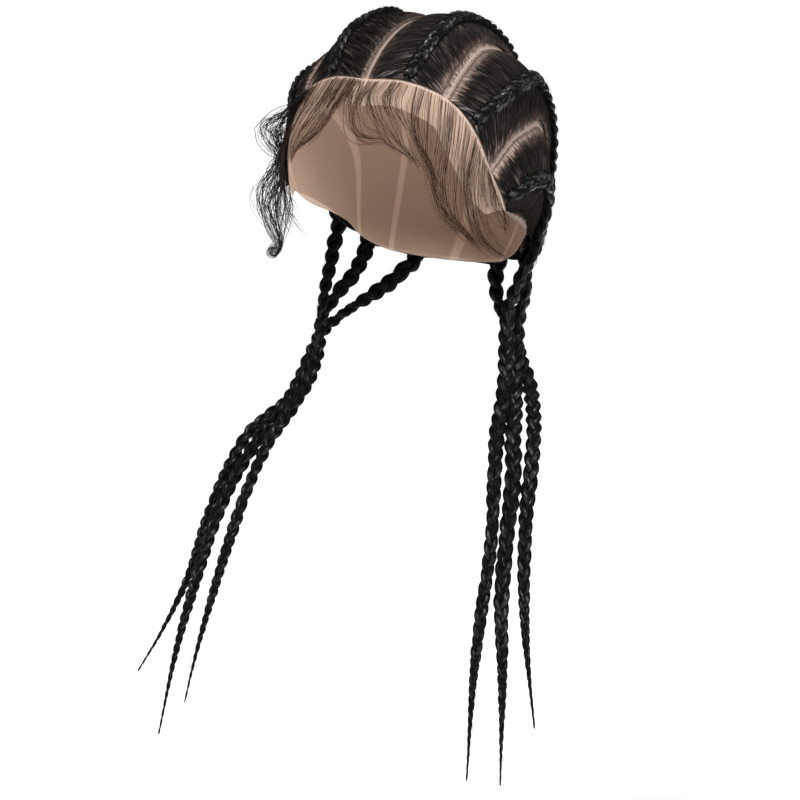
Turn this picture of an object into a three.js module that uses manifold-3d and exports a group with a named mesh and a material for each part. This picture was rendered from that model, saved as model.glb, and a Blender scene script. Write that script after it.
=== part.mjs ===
// Cornrow braid wig: a lace cap, six swept sections of hair, six plaits and a fringe of baby hair.
// Millimetres, Z up, the wearer faces -Y, the origin is the top of the head hollow.
import * as THREE from 'three';
import Module from 'manifold-3d';

const wasm = await Module();
wasm.setup();

// Head form that the cap is made to, as half sizes about the head's middle
const HEAD = { side: 82.5, front: 100, back: 98, up: 89, lowBack: 104, lowSide: 112 };

// Cap and hair
const CAP_WALL = 1.2;
const GAP = 0.3;
const PART_HALF = 0.075;
const LOW_EDGE = 5.84;
const HAIR_EDGE = 1;
const HAIR_CREST = { top: 5.5, side: 5, low: 5 };
const HAIR_RISE = { at: 0.12, root: 0.2 };
const HAIR_END = 0.985;
const ALONG_STEPS = 14;

// Plaits
const PLAIT_THICK = 0.68;
const PLAIT_PITCH = 1.06;
const LEAST_PITCH = 9.6;
const PLAIT_GAP = 0.35;
const PLAIT_LEAVE = 2;
const PLAIT_ROOT = 1.5;
const FREE_AFTER = 30;
const ROOT_FLAT = 0.75;
const LOBE_IN = 0.72;
const TAIL_PLAIN = 100;
const TAIL_STEP = 12.5;
const CHEST_FACING = { left: [0.5, -0.85, 0.1], right: [-0.1, -0.98, 0.1] };

// Lines over the left half of the head, from the hairline to the cap's rim, and the lace ahead of each
const STATIONS = ['hairline', 'front', 'crown', 'back', 'occiput', 'rim'];
const LINES = [
  { line: 'centre part', lace: 22, hairline: [0, -76, -28], front: [0, -46, -7], crown: [0, 4, 0],
    back: [0, 60, -18], occiput: [0, 96, -70], rim: [0, 57, -174] },
  { line: 'top cornrow', lace: 22, hairline: [26, -70, -29], front: [29, -44, -13], crown: [26, 4, -4],
    back: [29, 52, -21], occiput: [30, 86, -78], rim: [27, 53, -173] },
  { line: 'upper part', lace: 24, hairline: [50, -60, -40], front: [50, -37, -26], crown: [48, 4, -16],
    back: [48, 46, -33], occiput: [45, 75, -86], rim: [43, 46, -171] },
  { line: 'side cornrow', lace: 27, hairline: [65, -54, -57], front: [72, -34, -46], crown: [75, -2, -38],
    back: [69, 37, -42], occiput: [60, 63, -90], rim: [54, 40, -167] },
  { line: 'lower part', lace: 26, hairline: [76, -46, -87], front: [81, -25, -72], crown: [82, -3, -67],
    back: [79, 26, -69], occiput: [70, 48, -102], rim: [63, 34, -161] },
  { line: 'low cornrow', lace: 19, hairline: [80, -33, -109], front: [83, -18, -101], crown: [84, -3, -99],
    back: [82, 17, -105], occiput: [78, 30, -125], rim: [71, 30, -152] },
  { line: 'low edge', lace: 11, hairline: [79, -26, -120], front: [80, -14, -127], crown: [80, -4, -132],
    back: [79, 7, -137], occiput: [78, 15, -141], rim: [76, 22, -145] },
];

// Each plait: its line, its width at the root, at the nape and free, and the places it hangs through
const PLAITS = [
  { name: 'braid_left_top', side: 1, line: 1, root: 7, nape: 12, free: 9.2, hang: [
    [32, 57, -188], [41, 49, -203], [54, 39, -219], [67, 25, -233], [78, 14, -243], [88, -2, -253],
    [97, -20, -267], [102, -35, -286], [105, -49, -316], [108, -59, -354], [112, -64, -395],
    [122, -70, -458]] },
  { name: 'braid_left_side', side: 1, line: 3, root: 7.5, nape: 12, free: 10, hang: [
    [65, 36, -184], [64, 26, -205], [67, 15, -224], [75, -3, -246], [85, -27, -271], [93, -44, -292],
    [96, -60, -328], [96, -68, -372], [99, -72, -422], [100, -76, -501]] },
  { name: 'braid_left_low', side: 1, line: 5, root: 7.5, nape: 11.5, free: 8.8, hang: [
    [67, 18, -177], [64, 10, -193], [66, 3, -213], [71, -10, -240], [76, -33, -268], [81, -48, -290],
    [85, -61, -335], [82, -69, -380], [78, -73, -430], [75, -76, -502]] },
  { name: 'braid_right_top', side: -1, line: 1, root: 7, nape: 12, free: 8.6, hang: [
    [-40, 58, -187], [-56, 50, -201], [-72, 38, -213], [-82, 23, -224], [-86, 8, -237], [-87, -6, -252],
    [-92, -22, -269], [-109, -41, -287], [-115, -57, -306], [-124, -75, -342], [-132, -90, -382],
    [-147, -103, -421], [-163, -110, -451]] },
  { name: 'braid_right_side', side: -1, line: 3, root: 7.5, nape: 12, free: 9, hang: [
    [-65, 38, -183], [-74, 26, -198], [-79, 10, -215], [-76, -5, -232], [-76, -20, -248], [-81, -33, -265],
    [-93, -49, -283], [-101, -65, -302], [-113, -82, -338], [-125, -101, -396], [-133, -110, -437],
    [-144, -115, -493]] },
  { name: 'braid_right_low', side: -1, line: 5, root: 7.5, nape: 11.5, free: 8.4, hang: [
    [-78, 28, -167], [-77, 13, -190], [-74, -1, -213], [-67, -16, -230], [-66, -33, -247], [-72, -47, -264],
    [-82, -63, -286], [-89, -81, -315], [-98, -95, -355], [-107, -104, -394], [-116, -111, -434],
    [-123, -114, -466]] },
];

// Baby hair: locks from a root band along the hairline, by the root's line and the places it curls through
const BAND = { width: 3, thick: 0.9, ahead: 2.2 };
const LOCK = { root: 3, full: 5.5, tip: 1.2, flat: 0.3, lift: 3.2, steps: 8 };
const LOCKS = [
  { root: -0.1, curl: [[-6, -93, -47], [2, -101, -64], [15, -100, -67], [24, -95, -59]] },
  { root: 0.55, curl: [[11, -88, -40], [27, -96, -63], [40, -92, -73], [50, -85, -76]] },
  { root: 1.1, curl: [[29, -84, -42], [44, -86, -64], [53, -83, -89], [54, -81, -102]] },
  { root: 1.8, curl: [[51, -78, -58], [51, -85, -89], [55, -78, -113], [66, -56, -133], [70, -43, -142]] },
  { root: 2.6, curl: [[63, -73, -84], [62, -70, -114], [68, -50, -138], [71, -38, -147]] },
  { root: 3.4, curl: [[69, -64, -98], [71, -50, -130], [77, -12, -153]] },
  { root: 4.1, curl: [[79, -43, -107], [79, -22, -132]] },
  { root: -0.35, curl: [[-13, -91, -44], [-23, -96, -61], [-35, -94, -70], [-54, -83, -77]] },
  { root: -1.15, curl: [[-34, -83, -46], [-48, -82, -66], [-58, -74, -90]] },
  { root: -1.75, curl: [[-59, -65, -50], [-73, -61, -58], [-87, -59, -69], [-81, -58, -80], [-66, -62, -92],
    [-64, -64, -106]] },
  { root: -2.4, curl: [[-64, -60, -72], [-77, -57, -89], [-89, -55, -104], [-94, -54, -117], [-88, -54, -136],
    [-74, -57, -151]] },
  { root: -2.9, curl: [[-66, -70, -88], [-66, -66, -114], [-70, -48, -138]] },
  { root: -3.4, curl: [[-69, -64, -98], [-71, -50, -130], [-77, -12, -153]] },
  { root: -4.1, curl: [[-79, -43, -107], [-79, -22, -132]] },
];

const vec = ([x, y, z]) => new THREE.Vector3(x, y, z);
const mix = THREE.MathUtils.lerp;
const smooth = THREE.MathUtils.smoothstep;

// The head form under a place, lifted off it along the normal
function onHead(place, lift) {
  const d = place.clone();
  d.z += HEAD.up;
  const long = d.y < 0 ? HEAD.front : HEAD.back;
  const behind = d.y * d.y / (d.x * d.x + d.y * d.y + 1e-9);
  const tall = d.z > 0 ? HEAD.up : mix(HEAD.lowSide, HEAD.lowBack, behind);
  d.divideScalar(Math.hypot(d.x / HEAD.side, d.y / long, d.z / tall));
  const normal = vec([d.x / HEAD.side ** 2, d.y / long ** 2, d.z / tall ** 2]).normalize();
  d.addScaledVector(normal, lift);
  d.z -= HEAD.up;
  return { point: d, normal };
}

// A place by line number across (negative on the right) and share along; below zero it runs on to the lace
const lineCurves = LINES.map((row) =>
  new THREE.CatmullRomCurve3(STATIONS.map((station) => vec(row[station])), false, 'centripetal'));
const mirrored = (p) => vec([-p.x, p.y, p.z]);
function across(k, along) {
  const i = Math.min(Math.floor(k), LINES.length - 2);
  const at = (n) => {
    if (n < 0) return mirrored(lineCurves[-n].getPointAt(along));
    if (n < LINES.length) return lineCurves[n].getPointAt(along);
    return at(n - 1).multiplyScalar(2).sub(at(n - 2));
  };
  const spline = new THREE.CatmullRomCurve3([at(i - 1), at(i), at(i + 1), at(i + 2)], false, 'catmullrom');
  return spline.getPoint((1 + k - i) / 3);
}
function laceAt(k) {
  const i = Math.min(Math.floor(Math.abs(k)), LINES.length - 2);
  return mix(LINES[i].lace, LINES[i + 1].lace, Math.abs(k) - i);
}
function place(k, s) {
  const a = Math.abs(k);
  const p = across(a, Math.max(s, 0));
  if (s < 0) p.addScaledVector(p.clone().sub(across(a, 0.05)).normalize(), -s * laceAt(k));
  return k < 0 ? mirrored(p) : p;
}

// A closed solid from a list of equal rings, or of equal rows of points joined edge to edge
function solid(points, faces) {
  let volume = 0;
  for (const [a, b, c] of faces) volume += points[a].dot(points[b].clone().cross(points[c]));
  const index = faces.flatMap(([a, b, c]) => (volume > 0 ? [a, b, c] : [a, c, b]));
  const geometry = new THREE.BufferGeometry().setFromPoints(points);
  geometry.setIndex(index);
  geometry.computeVertexNormals();
  return geometry;
}
function loft(rings) {
  const n = rings[0].length;
  const faces = [];
  for (let r = 0; r < rings.length - 1; r += 1) {
    for (let i = 0; i < n; i += 1) {
      const [a, b] = [r * n + i, r * n + (i + 1) % n];
      faces.push([a, b, b + n], [a, b + n, a + n]);
    }
  }
  const end = (rings.length - 1) * n;
  for (let i = 1; i < n - 1; i += 1) faces.push([0, i + 1, i], [end, end + i, end + i + 1]);
  return solid(rings.flat(), faces);
}
function wall(outer, inner) {
  const [rows, cols] = [outer.length, outer[0].length];
  const faces = [];
  const at = (r, c, under) => (under ? rows * cols : 0) + r * cols + c;
  for (let r = 0; r < rows - 1; r += 1) {
    for (let c = 0; c < cols - 1; c += 1) {
      faces.push([at(r, c), at(r + 1, c), at(r + 1, c + 1)], [at(r, c), at(r + 1, c + 1), at(r, c + 1)]);
      faces.push([at(r, c, 1), at(r + 1, c + 1, 1), at(r + 1, c, 1)]);
      faces.push([at(r, c, 1), at(r, c + 1, 1), at(r + 1, c + 1, 1)]);
    }
  }
  const rim = [];
  for (let c = 0; c < cols - 1; c += 1) rim.push([0, c]);
  for (let r = 0; r < rows - 1; r += 1) rim.push([r, cols - 1]);
  for (let c = cols - 1; c > 0; c -= 1) rim.push([rows - 1, c]);
  for (let r = rows - 1; r > 0; r -= 1) rim.push([r, 0]);
  rim.forEach(([r, c], i) => {
    const [r2, c2] = rim[(i + 1) % rim.length];
    faces.push([at(r, c), at(r2, c2), at(r2, c2, 1)], [at(r, c), at(r2, c2, 1), at(r, c, 1)]);
  });
  return solid([...outer.flat(), ...inner.flat()], faces);
}

// Stations shared by the cap and the sections, so that their facets run side by side
const SECTIONS = {
  top: [PART_HALF, 2 - PART_HALF],
  side: [2 + PART_HALF, 4 - PART_HALF],
  low: [4 + PART_HALF, LOW_EDGE],
};
const middle = { top: 1, side: 3, low: 5 };
function sectionStations(name) {
  const [from, to] = SECTIONS[name];
  const crest = middle[name];
  return [from, (from + crest) / 2, crest, (crest + to) / 2, to];
}
const hairStations = Array.from({ length: ALONG_STEPS + 1 }, (_, i) => HAIR_END * i / ALONG_STEPS);
const leftStations = [...Object.keys(SECTIONS).flatMap(sectionStations), LINES.length - 1];
const capStations = [...leftStations.map((k) => -k).reverse(), ...leftStations];

function sheet(ks, ss, lift) {
  return ks.map((k) => ss.map((s) => onHead(place(k, s), lift(k, s)).point));
}
function laceCap() {
  const ss = [-1, -0.5, ...hairStations, 1];
  return wall(sheet(capStations, ss, () => CAP_WALL), sheet(capStations, ss, () => 0));
}
function hairLift(name, k, s) {
  const [from, to] = SECTIONS[name];
  const a = Math.abs(k);
  const share = a < middle[name] ? (a - from) / (middle[name] - from) : (to - a) / (to - middle[name]);
  const risen = mix(HAIR_RISE.root, 1, smooth(s, 0, HAIR_RISE.at));
  return CAP_WALL + GAP + HAIR_EDGE + (HAIR_CREST[name] - HAIR_EDGE) * risen * Math.sin(share * Math.PI / 2);
}
function sweptHair(name, side) {
  const ks = sectionStations(name).map((k) => side * k).sort((a, b) => a - b);
  return wall(sheet(ks, hairStations, (k, s) => hairLift(name, k, s)),
    sheet(ks, hairStations, () => CAP_WALL + GAP));
}

// A plait: on the head along its line, then free; lobes stand out left and right in turn
function plait(row) {
  const name = Object.keys(middle).find((key) => middle[key] === row.line);
  const points = [];
  const facing = [];
  hairStations.forEach((s) => {
    const lift = hairLift(name, row.line, s) + PLAIT_GAP + PLAIT_LEAVE * smooth(s, 0.86, HAIR_END);
    const seat = onHead(place(row.side * row.line, s), lift);
    points.push(seat.point);
    facing.push(seat.normal);
  });
  for (const station of row.hang) {
    const p = vec(station);
    const chest = vec(row.side > 0 ? CHEST_FACING.left : CHEST_FACING.right);
    points.push(p);
    facing.push(vec([p.x, p.y - 10, 0]).normalize().lerp(chest, 1 - smooth(p.z, -240, -185)).normalize());
  }
  const path = new THREE.CatmullRomCurve3(points, false, 'centripetal');
  const face = new THREE.CatmullRomCurve3(facing, false, 'catmullrom');
  path.arcLengthDivisions = 800;
  const total = path.getLength();
  const lengths = path.getLengths();
  const onCap = lengths[Math.round(path.arcLengthDivisions * ALONG_STEPS / (points.length - 1))];
  const widthAt = (d) => {
    if (d < onCap) return mix(row.root, row.nape, (d / onCap) ** 0.6);
    const f = (d - onCap) / (total - onCap);
    if (f < 0.3) return mix(row.nape, row.free, smooth(f, 0, 0.3));
    return mix(row.free, 1.4, smooth(f, 0.62, 1) ** 1.15);
  };
  const pitchAt = (d) => Math.max(widthAt(d) * PLAIT_PITCH, LEAST_PITCH);
  const steps = [];
  for (let d = PLAIT_ROOT; d < total - TAIL_PLAIN; d += pitchAt(d) / 2) steps.push(d);
  for (let d = total - TAIL_PLAIN; d <= total; d += TAIL_STEP) steps.push(d);
  const rings = steps.map((d, i) => {
    const t = path.getUtoTmapping(d / total);
    const p = path.getPoint(t);
    const along = path.getTangent(t);
    const over = face.getPoint(t);
    over.addScaledVector(along, -over.dot(along)).normalize();
    const sideways = along.clone().cross(over);
    const width = widthAt(d);
    const thick = width * PLAIT_THICK * mix(ROOT_FLAT, 1, smooth(d, 0, FREE_AFTER));
    const seat = smooth(d, onCap, onCap + FREE_AFTER) * thick / 2;
    const plain = d >= total - TAIL_PLAIN;
    const lobe = i % 2 ? 1 : -1;
    const left = width / 2 * (plain || lobe > 0 ? 1 : LOBE_IN);
    const right = width / 2 * (plain || lobe < 0 ? 1 : LOBE_IN);
    const ridge = plain ? 0 : -lobe * width * 0.17;
    const foot = width * 0.32;
    const ring = [[-foot, 0], [-left, thick * 0.42], [ridge, thick], [right, thick * 0.42], [foot, 0]];
    return ring.map(([a, n]) => p.clone().addScaledVector(sideways, a).addScaledVector(over, n - seat));
  });
  return loft(rings);
}

// The fringe: a root band on the lace, with each lock fused to it
function rootBand() {
  const ks = capStations.filter((k) => Math.abs(k) <= LOW_EDGE);
  return loft(ks.map((k) => {
    const corner = (ahead, lift) => onHead(place(k, -ahead / laceAt(k)), CAP_WALL + GAP + lift).point;
    const [near, far] = [BAND.ahead - BAND.width / 2, BAND.ahead + BAND.width / 2];
    return [corner(near, 0), corner(far, 0), corner(far, BAND.thick), corner(near, BAND.thick)];
  }));
}
function lockAt(row) {
  const root = onHead(place(row.root, -BAND.ahead / laceAt(row.root)), CAP_WALL + GAP + BAND.thick / 2);
  const points = [root.point];
  for (const station of row.curl) {
    const p = vec(station);
    const seat = onHead(p, 0);
    const height = p.clone().sub(seat.point).dot(seat.normal);
    points.push(p.addScaledVector(seat.normal, Math.max(LOCK.lift - height, 0)));
  }
  const path = new THREE.CatmullRomCurve3(points, false, 'centripetal');
  const rings = [];
  for (let i = 0; i <= LOCK.steps; i += 1) {
    const u = i / LOCK.steps;
    const p = path.getPointAt(u);
    const along = path.getTangentAt(u);
    const over = onHead(p, 0).normal;
    over.addScaledVector(along, -over.dot(along)).normalize();
    const sideways = along.clone().cross(over);
    const width = u < 0.4 ? mix(LOCK.root, LOCK.full, u / 0.4) : mix(LOCK.full, LOCK.tip, (u - 0.4) / 0.6);
    const thick = width * LOCK.flat;
    rings.push([[-width / 2, -thick / 2], [0, thick / 2], [width / 2, -thick / 2]].map(([a, n]) =>
      p.clone().addScaledVector(sideways, a).addScaledVector(over, n)));
  }
  return loft(rings);
}
function fused(geometries) {
  const whole = wasm.Manifold.union(geometries.map((geometry) => new wasm.Manifold(new wasm.Mesh({
    numProp: 3,
    vertProperties: geometry.getAttribute('position').array,
    triVerts: Uint32Array.from(geometry.index.array),
  })))).getMesh();
  const geometry = new THREE.BufferGeometry();
  geometry.setAttribute('position', new THREE.BufferAttribute(whole.vertProperties, 3));
  geometry.setIndex(new THREE.BufferAttribute(whole.triVerts, 1));
  geometry.computeVertexNormals();
  return geometry;
}

const group = new THREE.Group();
const hairMaterial = new THREE.MeshStandardMaterial({ color: 0x16120f, roughness: 0.5, metalness: 0 });
const laceMaterial = new THREE.MeshStandardMaterial({ color: 0xb08a72, roughness: 0.85, metalness: 0 });
function addPiece(name, geometry, material) {
  const mesh = new THREE.Mesh(geometry, material);
  mesh.name = name;
  group.add(mesh);
}
addPiece('lace_cap', laceCap(), laceMaterial);
for (const [word, side] of [['left', 1], ['right', -1]]) {
  for (const name of Object.keys(SECTIONS)) {
    addPiece(`swept_hair_${word}_${name}`, sweptHair(name, side), hairMaterial);
  }
}
for (const row of PLAITS) addPiece(row.name, plait(row), hairMaterial);
addPiece('baby_hair', fused([rootBand(), ...LOCKS.map(lockAt)]), hairMaterial);

export default group;
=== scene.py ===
"""Cornrow braid wig on a lace cap, dressed for the photograph's view."""
import math

import bmesh
import bpy
import numpy as np
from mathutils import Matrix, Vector


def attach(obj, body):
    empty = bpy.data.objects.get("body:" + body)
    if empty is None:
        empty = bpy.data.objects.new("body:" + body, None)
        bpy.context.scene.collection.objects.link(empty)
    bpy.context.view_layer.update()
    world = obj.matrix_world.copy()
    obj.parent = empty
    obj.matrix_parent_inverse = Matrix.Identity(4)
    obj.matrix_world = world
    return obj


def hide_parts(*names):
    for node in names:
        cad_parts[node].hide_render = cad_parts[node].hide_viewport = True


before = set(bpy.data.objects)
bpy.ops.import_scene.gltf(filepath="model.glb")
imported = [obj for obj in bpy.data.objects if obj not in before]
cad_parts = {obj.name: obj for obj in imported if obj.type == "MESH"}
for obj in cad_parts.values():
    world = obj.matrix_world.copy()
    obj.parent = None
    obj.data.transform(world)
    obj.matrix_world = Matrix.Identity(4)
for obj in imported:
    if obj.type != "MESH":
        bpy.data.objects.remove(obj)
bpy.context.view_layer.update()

# Sizes in millimetres, as the solids have them
MM = 0.001
FORM = dict(side=82.5, front=100, back=98, up=89, low_back=104, low_side=112)
HAIR_BASE, HAIR_EDGE = 1.5, 1.0
HAIR_CREST = dict(top=5.5, side=5, low=5)
HAIR_END = 0.985
SECTIONS = dict(top=(0.075, 1, 1.925), side=(2.075, 3, 3.925), low=(4.075, 5, 5.84))
SEATS = np.linspace(0, HAIR_END, 15)
LINE_GAP, LACE_LONG, CAP_LONG = 27.0, 24, 320
FINE = 60

# How far the hair thins out beside each part: at the hairline, behind it and over the crown
THINS = dict(centre=(2.5, 2, 1.5), upper=(10, 7, 3), lower=(11, 8, 5), rim=(1.2, 1, 1))
BESIDE = dict(top=("centre", "upper"), side=("upper", "lower"), low=("lower", "rim"))

# Lines over the left half of the cap, from the hairline to the rim, with the lace before each
LINES = [
    dict(lace=22, route=[(0, -76, -28), (0, -46, -7), (0, 4, 0), (0, 60, -18), (0, 96, -70), (0, 57, -174)]),
    dict(lace=22, route=[(26, -70, -29), (29, -44, -13), (26, 4, -4), (29, 52, -21), (30, 86, -78),
                         (27, 53, -173)]),
    dict(lace=24, route=[(50, -60, -40), (50, -37, -26), (48, 4, -16), (48, 46, -33), (45, 75, -86),
                         (43, 46, -171)]),
    dict(lace=27, route=[(65, -54, -57), (72, -34, -46), (75, -2, -38), (69, 37, -42), (60, 63, -90),
                         (54, 40, -167)]),
    dict(lace=26, route=[(76, -46, -87), (81, -25, -72), (82, -3, -67), (79, 26, -69), (70, 48, -102),
                         (63, 34, -161)]),
    dict(lace=19, route=[(80, -33, -109), (83, -18, -101), (84, -3, -99), (82, 17, -105), (78, 30, -125),
                         (71, 30, -152)]),
    dict(lace=11, route=[(79, -26, -120), (80, -14, -127), (80, -4, -132), (79, 7, -137), (78, 15, -141),
                         (76, 22, -145)]),
]

# Plaits: section, widths at the root, the nape and free, and the places each hangs through
PLAITS = {
    "left_top": dict(side=1, section="top", root=7, nape=12, free=9.2, hang=[
        (32, 57, -188), (41, 49, -203), (54, 39, -219), (67, 25, -233), (78, 14, -243), (88, -2, -253),
        (97, -20, -267), (102, -35, -286), (105, -49, -316), (108, -59, -354), (112, -64, -395),
        (122, -70, -458)]),
    "left_side": dict(side=1, section="side", root=7.5, nape=12, free=10, hang=[
        (65, 36, -184), (64, 26, -205), (67, 15, -224), (75, -3, -246), (85, -27, -271), (93, -44, -292),
        (96, -60, -328), (96, -68, -372), (99, -72, -422), (100, -76, -501)]),
    "left_low": dict(side=1, section="low", root=7.5, nape=11.5, free=8.8, hang=[
        (67, 18, -177), (64, 10, -193), (66, 3, -213), (71, -10, -240), (76, -33, -268), (81, -48, -290),
        (85, -61, -335), (82, -69, -380), (78, -73, -430), (75, -76, -502)]),
    "right_top": dict(side=-1, section="top", root=7, nape=12, free=8.6, hang=[
        (-40, 58, -187), (-56, 50, -201), (-72, 38, -213), (-82, 23, -224), (-86, 8, -237), (-87, -6, -252),
        (-92, -22, -269), (-109, -41, -287), (-115, -57, -306), (-124, -75, -342), (-132, -90, -382),
        (-147, -103, -421), (-163, -110, -451)]),
    "right_side": dict(side=-1, section="side", root=7.5, nape=12, free=9, hang=[
        (-65, 38, -183), (-74, 26, -198), (-79, 10, -215), (-76, -5, -232), (-76, -20, -248),
        (-81, -33, -265), (-93, -49, -283), (-101, -65, -302), (-113, -82, -338), (-125, -101, -396),
        (-133, -110, -437), (-144, -115, -493)]),
    "right_low": dict(side=-1, section="low", root=7.5, nape=11.5, free=8.4, hang=[
        (-78, 28, -167), (-77, 13, -190), (-74, -1, -213), (-67, -16, -230), (-66, -33, -247),
        (-72, -47, -264), (-82, -63, -286), (-89, -81, -315), (-98, -95, -355), (-107, -104, -394),
        (-116, -111, -434), (-123, -114, -466)]),
}

# Baby hair: each lock's root line, its count of hairs and the places it curls through
# Where a lock is parted from the next its hairs fan out, and keep is the share of that left at their ends
# short is the share of short hairs, nest how far the arcs fold in, and hook the curl of the ends
LOCKS = [
    dict(root=-4.1, parted="down", fan=0.4, keep=0.5, hairs=16, short=0.5, nest=0.9, hook=0, curl=[
        (-79, -43, -107), (-79, -22, -132)]),
    dict(root=-3.4, parted="", fan=0.4, keep=0.5, hairs=20, short=0.5, nest=0.9, hook=0, curl=[
        (-69, -64, -98), (-71, -50, -130), (-77, -12, -153)]),
    dict(root=-2.9, parted="", fan=0.4, keep=0.5, hairs=50, short=0.4, nest=0.85, hook=0, curl=[
        (-66, -70, -88), (-66, -66, -114), (-70, -48, -138)]),
    dict(root=-2.4, seat=-2.6, parted="up", fan=0.3, keep=0.1, hairs=95, short=0.12, nest=0.5, hook=3.6,
         curl=[(-64, -60, -72), (-77, -57, -89), (-89, -55, -104), (-94, -54, -117), (-88, -54, -136),
               (-75, -57, -153)]),
    dict(root=-2.1, seat=-2.4, parted="up down", fan=0.2, keep=0.1, hairs=36, short=0.05, nest=0.2, hook=3.6,
         curl=[(-58, -64, -55), (-80, -59, -66), (-85, -58, -78), (-83, -57, -95), (-80, -57, -111),
               (-78, -57, -135), (-74, -57, -154)]),
    dict(root=-1.75, seat=-2.15, parted="up down", fan=0.3, keep=0.1, hairs=74, short=0.08, nest=0.6, hook=0,
         curl=[(-59, -65, -50), (-73, -61, -58), (-87, -59, -69), (-81, -58, -80), (-66, -62, -92),
               (-64, -64, -106)]),
    dict(root=-1.15, parted="down", fan=0.7, keep=0.6, hairs=76, short=0.4, nest=0.8, hook=-2.0, curl=[
        (-34, -83, -46), (-48, -82, -66), (-58, -74, -90)]),
    dict(root=-0.35, parted="up", fan=0.12, keep=0.5, hairs=60, short=0.4, nest=0.8, hook=-2.0, curl=[
        (-13, -91, -44), (-23, -96, -61), (-35, -94, -70), (-54, -83, -77)]),
    dict(root=-0.1, parted="down up", fan=0.34, keep=0.55, hairs=48, short=0.3, nest=0.4, hook=1.4, curl=[
        (-6, -93, -47), (2, -101, -64), (15, -100, -67), (24, -95, -59)]),
    dict(root=0.55, parted="down", fan=0.4, keep=0.5, hairs=63, short=0.4, nest=0.8, hook=2.0, curl=[
        (11, -88, -40), (27, -96, -63), (40, -92, -73), (50, -85, -76)]),
    dict(root=1.1, parted="", fan=0.4, keep=0.5, hairs=50, short=0.4, nest=0.85, hook=1.8, curl=[
        (29, -84, -42), (44, -86, -64), (53, -83, -89), (54, -81, -102)]),
    dict(root=1.8, parted="", fan=0.4, keep=0.5, hairs=41, short=0.35, nest=0.92, hook=0, curl=[
        (51, -78, -58), (51, -85, -89), (55, -78, -113), (66, -56, -133), (70, -43, -142)]),
    dict(root=2.6, parted="", fan=0.4, keep=0.5, hairs=41, short=0.35, nest=0.92, hook=0, curl=[
        (63, -73, -84), (62, -70, -114), (68, -50, -138), (71, -38, -147)]),
    dict(root=3.4, parted="", fan=0.4, keep=0.5, hairs=64, short=0.35, nest=0.92, hook=0, curl=[
        (69, -64, -98), (71, -50, -130), (77, -12, -153)]),
    dict(root=4.1, parted="up", fan=0.4, keep=0.5, hairs=48, short=0.4, nest=0.92, hook=0, curl=[
        (79, -43, -107), (79, -22, -132)]),
]


# Curves and blends
def smooth(x, low, high):
    t = np.clip((x - low) / (high - low), 0, 1)
    return t * t * (3 - 2 * t)


def mix(a, b, t):
    return a + (b - a) * t


def unit(v):
    return v / np.maximum(np.linalg.norm(v, axis=-1, keepdims=True), 1e-9)


# The part of a direction that stands square to another
def square(v, along):
    return unit(v - along * np.sum(v * along, -1, keepdims=True))


def cubic(b, c, leave, reach, w):
    bend, turn = 3 * (c - b) - 2 * leave - reach, 2 * (b - c) + leave + reach
    return b + leave * w + bend * w**2 + turn * w**3


# A smooth curve through places, as a fine run of points
def through(points, power=0.5):
    p = np.asarray(points, float)
    p = np.vstack([2 * p[0] - p[1], p, 2 * p[-1] - p[-2]])
    gap = np.maximum(np.linalg.norm(np.diff(p, axis=0), axis=1) ** power, 1e-4)
    w = np.linspace(0, 1, FINE, endpoint=False)[:, None]
    out = []
    for i in range(1, len(p) - 2):
        a, b, c, d = p[i - 1:i + 3]
        ga, gb, gc = gap[i - 1:i + 2]
        leave = ((b - a) / ga - (c - a) / (ga + gb) + (c - b) / gb) * gb
        reach = ((c - b) / gb - (d - b) / (gb + gc) + (d - c) / gc) * gb
        out.append(cubic(b, c, leave, reach, w))
    out.append(p[-2:-1])
    return np.vstack(out)


class Track:
    """A smooth route that is read by the distance along it."""

    def __init__(self, points):
        self.p = through(points)
        step = np.linalg.norm(np.diff(self.p, axis=0), axis=1)
        self.d = np.concatenate([[0], np.cumsum(step)])
        self.length = self.d[-1]

    def read(self, d, values=None):
        values = self.p if values is None else values
        return np.stack([np.interp(d, self.d, values[:, i]) for i in range(values.shape[1])], -1)


# Places on the cap: line number across, negative on the right, and share along from the hairline
TRACKS = [Track(row["route"]) for row in LINES]
LACE = np.array([row["lace"] for row in LINES], float)


def across(k, s):
    rows = [t.read(s * t.length) for t in TRACKS]
    rows = np.stack([rows[1] * [-1, 1, 1], *rows, 2 * rows[-1] - rows[-2]])
    i = np.minimum(np.floor(k).astype(int), len(LINES) - 2)
    a, b, c, d = (np.take_along_axis(rows, (i + j)[None, ..., None], 0)[0] for j in range(4))
    return cubic(b, c, (c - a) / 2, (d - b) / 2, (k - i)[..., None])


def lace_ahead(k):
    return np.interp(np.abs(k), np.arange(len(LACE)), LACE)


def place(k, s):
    k, s = np.broadcast_arrays(np.asarray(k, float), np.asarray(s, float))
    a = np.abs(k)
    p = across(a, np.maximum(s, 0))
    ahead = unit(across(a, np.zeros_like(a)) - across(a, np.full_like(a, 0.05)))
    p = p + (np.maximum(-s, 0) * lace_ahead(a))[..., None] * ahead
    return p * np.stack([np.where(k < 0, -1, 1), np.ones_like(a), np.ones_like(a)], -1)


# The nearest place on the cap's form, lifted off it, and the direction that faces out there
def on_form(p, lift=0.0):
    d = p + [0, 0, FORM["up"]]
    long = np.where(d[..., 1] < 0, FORM["front"], FORM["back"])
    behind = d[..., 1]**2 / (d[..., 0]**2 + d[..., 1]**2 + 1e-9)
    tall = np.where(d[..., 2] > 0, FORM["up"], mix(FORM["low_side"], FORM["low_back"], behind))
    half = np.stack([np.full_like(long, FORM["side"], dtype=float), long, tall], -1)
    d = d / np.linalg.norm(d / half, axis=-1, keepdims=True)
    normal = unit(d / half**2)
    return d + normal * np.asarray(lift)[..., None] - [0, 0, FORM["up"]], normal


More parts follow.
